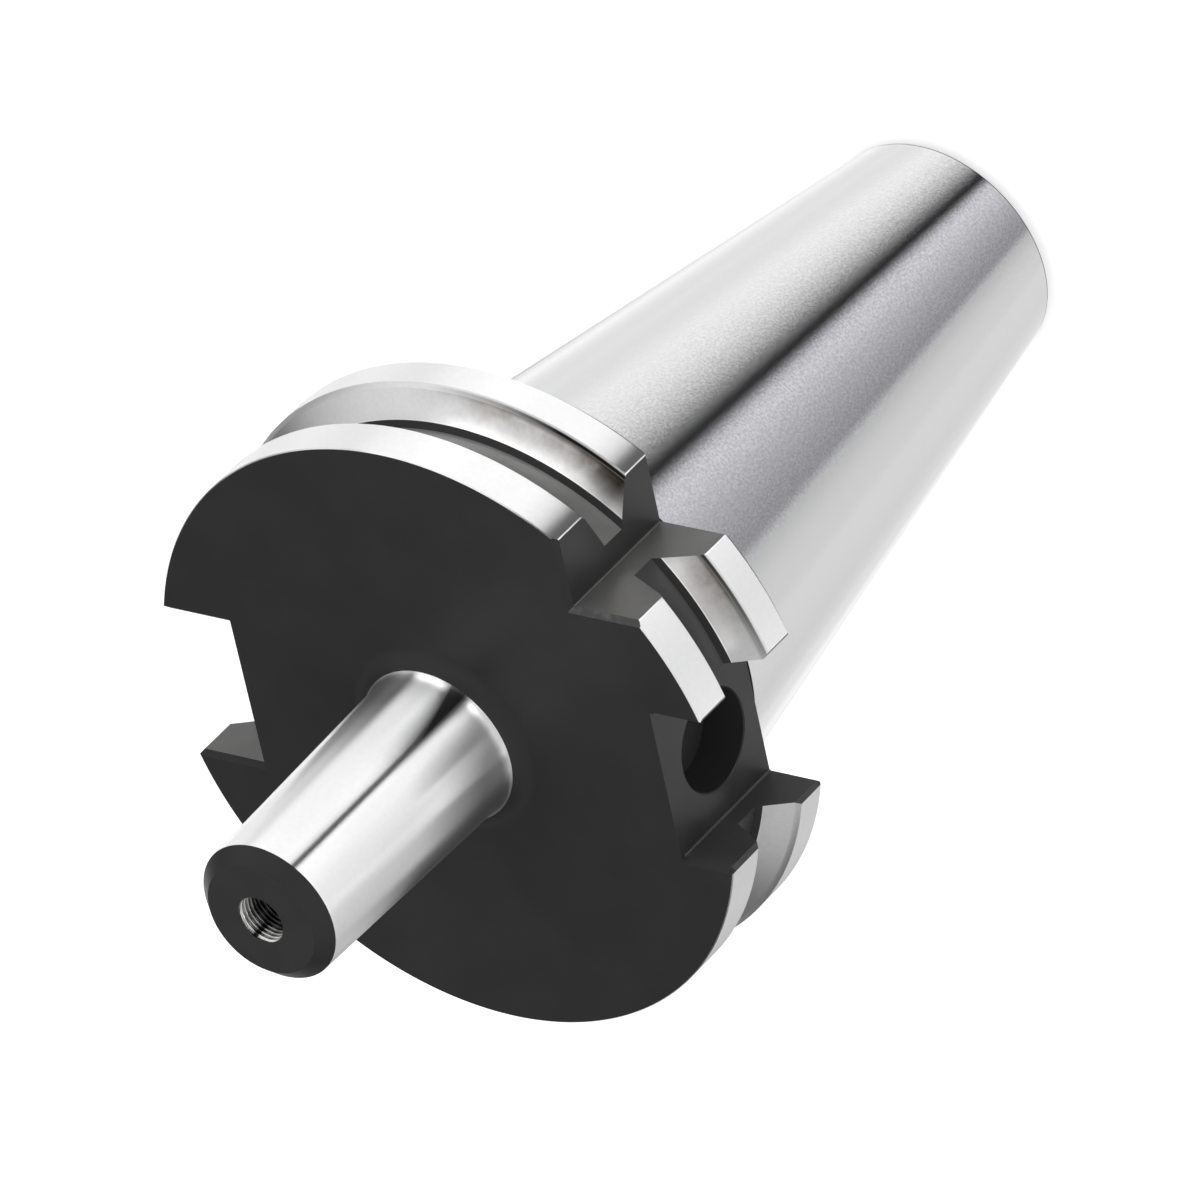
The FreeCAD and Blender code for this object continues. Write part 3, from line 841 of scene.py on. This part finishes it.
def makeWorld(values):
    world = bpy.data.worlds.new("studio")
    bpy.context.scene.world = world
    world.use_nodes = True
    graph = Graph(world.node_tree)
    direction = graph.add("ShaderNodeTexCoord", {}, {}, output="Generated")
    x, y, z = axes(graph, direction)
    turn = y.maths("ARCTAN2", x) / math.tau + 0.5
    fromX, fromY = values["steepFrom"]
    steepTurn = (y + fromY).maths("ARCTAN2", x + fromX) / math.tau + 0.5

    def levelAt(stops, turn):
        peak = max(level for angle, level in stops)
        places = [((angle + 180) / 360, level / peak) for angle, level in stops]
        return graph.add("ShaderNodeValToRGB", {"stops": places}, {"Fac": turn}) * peak

    def smoothStep(start, end):
        return graph.add("ShaderNodeMapRange", {"interpolation_type": "SMOOTHSTEP"},
                         {"Value": z, "From Min": start, "From Max": end})

    # the dark gap between the panels, in degrees, grows wider and softer upwards
    widens = smoothStep(*values["gapZone"])
    middle, half, soft = (widens * (end - start) + start for start, end in (
        values["gapMiddle"], values["gapHalf"], values["gapSoft"]))
    away = ((steepTurn - 0.5) * 360 - middle).maths("ABSOLUTE")
    outside = ((away - half) / soft).maths("ADD", 0.0, clamp=True)

    lowest, *middleBands, overhead = values["bands"]
    bands = [levelAt(stops, steepTurn) * outside for stops in middleBands]
    bands.append(levelAt(overhead, turn))
    level = levelAt(lowest, steepTurn)
    tinted = levelAt(values["tintAt"], steepTurn)
    for band, edge in zip(bands, values["edges"]):
        amount = smoothStep(*edge)
        level = level * (1 - amount) + band * amount
        tinted = tinted * (1 - amount)
    toCamera = graph.add("ShaderNodeLightPath", {}, {}, output="Is Camera Ray")
    strength = toCamera + (1 - toCamera) * level
    color = mixed(graph, tinted * (1 - toCamera), (1, 1, 1), values["tint"])
    light = graph.add("ShaderNodeBackground", {}, {"Color": color, "Strength": strength})
    graph.add("ShaderNodeOutputWorld", {}, {"Surface": light})


makeWorld(studio)
print("floor and light ready")

# camera at the photograph's viewing angle
view = {
    "place": (0.650515, 0.630117, 0.751625), "lens": 376.874, "sensor": 36.0,
    "clipStart": 0.05, "clipEnd": 20.0,
    "right": (0.816746, -0.185053, -0.546517), "up": (-0.173209, 0.824858, -0.538153),
    "back": (0.550386, 0.534196, 0.641647),
}
cameraData = bpy.data.cameras.new("camera")
cameraData.sensor_width, cameraData.lens = view["sensor"], view["lens"]
cameraData.clip_start, cameraData.clip_end = view["clipStart"], view["clipEnd"]
camera = bpy.data.objects.new("camera", cameraData)
turning = Matrix((view["right"], view["up"], view["back"])).transposed().to_4x4()
camera.matrix_world = Matrix.Translation(view["place"]) @ turning
bpy.context.scene.collection.objects.link(camera)
bpy.context.scene.camera = camera
bpy.context.scene.view_settings.view_transform = "Standard"
